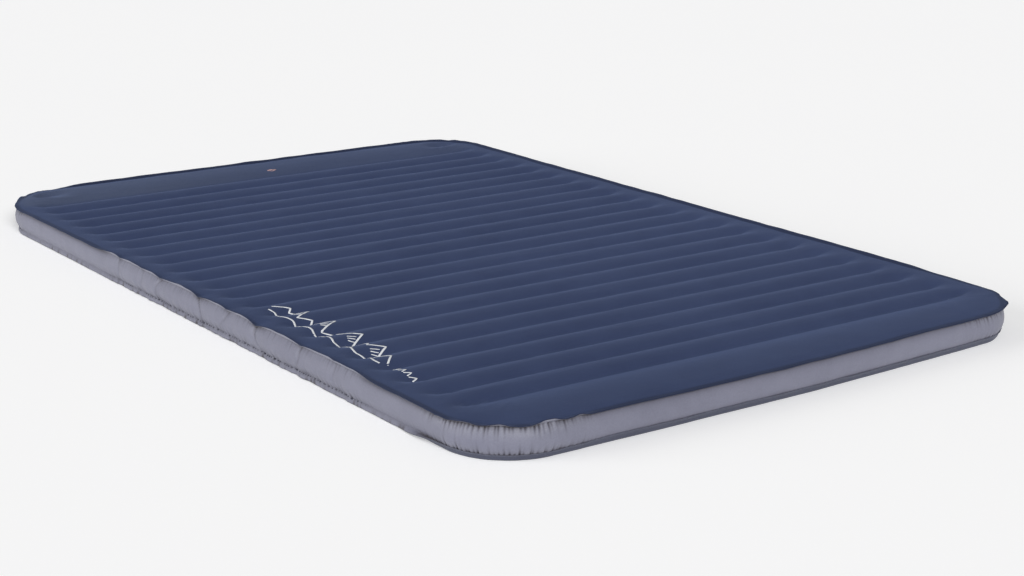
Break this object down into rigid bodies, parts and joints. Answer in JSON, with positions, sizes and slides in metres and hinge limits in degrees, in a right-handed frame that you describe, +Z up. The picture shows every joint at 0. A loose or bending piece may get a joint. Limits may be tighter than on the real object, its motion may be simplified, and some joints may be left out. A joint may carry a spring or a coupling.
{
  "type": "inflatable sleeping pad",
  "caption": "Double-width inflatable sleeping pad with cross channels, a bulged side wall, inner baffles and flat valves at the head end.",
  "frame": {"origin": "middle of the underside, on the ground", "axes": "+X across the pad, +Y along it towards the head end with the valves, +Z up"},
  "size_m": [1.22, 1.96, 0.06],
  "materials": {
    "navy_fabric": "matte",
    "base_fabric": "matte",
    "wall_fabric": "matte",
    "baffle_film": "satin",
    "batting": "matte",
    "valve_shell": "satin",
    "valve_cap": "satin",
    "valve_rubber": "matte",
    "print_ink": "matte"
  },
  "bodies": {
    "base": {"bottom_sheet": "base_fabric", "side_wall": "wall_fabric", "baffle_01": "baffle_film", "baffle_02": "baffle_film", "baffle_03": "baffle_film", "baffle_04": "baffle_film", "baffle_05": "baffle_film", "baffle_06": "baffle_film", "baffle_07": "baffle_film", "baffle_08": "baffle_film", "baffle_09": "baffle_film", "baffle_10": "baffle_film", "baffle_11": "baffle_film", "baffle_12": "baffle_film", "baffle_13": "baffle_film", "baffle_14": "baffle_film", "baffle_15": "baffle_film", "baffle_16": "baffle_film", "baffle_17": "baffle_film", "baffle_18": "baffle_film", "baffle_19": "baffle_film", "baffle_20": "baffle_film", "baffle_21": "baffle_film", "baffle_22": "baffle_film", "baffle_23": "baffle_film", "left_valve_weld_ring": "valve_rubber", "right_valve_weld_ring": "valve_rubber"},
    "top": {"top_sheet": "navy_fabric", "insulation_strips": "batting"},
    "left_valve": {"left_valve_housing": "valve_shell"},
    "left_lid": {"left_valve_lid": "valve_shell", "left_valve_gasket": "valve_rubber"},
    "left_flap": {"left_valve_flap": "valve_rubber"},
    "left_cap": {"left_valve_cap": "valve_cap"},
    "right_valve": {"right_valve_housing": "valve_shell"},
    "right_lid": {"right_valve_lid": "valve_shell", "right_valve_gasket": "valve_rubber"},
    "right_flap": {"right_valve_flap": "valve_rubber"},
    "right_cap": {"right_valve_cap": "valve_cap"}
  },
  "joints": [
    {"name": "top_sink", "type": "slide", "parent": "base", "child": "top", "axis": [0, 0, 1], "range_m": [-0.006, 0], "stiffness_N_per_m": 60000, "springref_m": 0.0006, "deforming": ["side_wall", "baffle_01", "baffle_02", "baffle_03", "baffle_04", "baffle_05", "baffle_06", "baffle_07", "baffle_08", "baffle_09", "baffle_10", "baffle_11", "baffle_12", "baffle_13", "baffle_14", "baffle_15", "baffle_16", "baffle_17", "baffle_18", "baffle_19", "baffle_20", "baffle_21", "baffle_22", "baffle_23", "left_valve_weld_ring", "right_valve_weld_ring"]},
    {"name": "left_valve_drop", "type": "slide", "parent": "base", "child": "left_valve", "axis": [0, 0, 1], "range_m": [-0.003, 0]},
    {"name": "left_lid_hinge", "type": "hinge", "parent": "left_valve", "child": "left_lid", "pos_m": [-0.4318, 0.9789, 0.031], "axis": [0, 0, -1], "range_deg": [0, 90]},
    {"name": "left_cap_hinge", "type": "hinge", "parent": "left_lid", "child": "left_cap", "pos_m": [-0.4377, 0.9824, 0.031], "axis": [0, 0, -1], "range_deg": [0, 110]},
    {"name": "left_flap_hinge", "type": "hinge", "parent": "left_lid", "child": "left_flap", "pos_m": [-0.4406, 0.9741, 0.031], "axis": [0, 0, 1], "range_deg": [0, 40], "stiffness_Nm_per_rad": 0.0004},
    {"name": "right_valve_drop", "type": "slide", "parent": "base", "child": "right_valve", "axis": [0, 0, 1], "range_m": [-0.003, 0]},
    {"name": "right_lid_hinge", "type": "hinge", "parent": "right_valve", "child": "right_lid", "pos_m": [0.4318, 0.9789, 0.031], "axis": [0, 0, 1], "range_deg": [0, 90]},
    {"name": "right_cap_hinge", "type": "hinge", "parent": "right_lid", "child": "right_cap", "pos_m": [0.4377, 0.9824, 0.031], "axis": [0, 0, 1], "range_deg": [0, 110]},
    {"name": "right_flap_hinge", "type": "hinge", "parent": "right_lid", "child": "right_flap", "pos_m": [0.4406, 0.9741, 0.031], "axis": [0, 0, -1], "range_deg": [0, 40], "stiffness_Nm_per_rad": 0.0004}
  ],
  "couplings": [
    {"joint": "left_valve_drop", "follows": "top_sink", "ratio": 0.5},
    {"joint": "right_valve_drop", "follows": "top_sink", "ratio": 0.5}
  ]
}
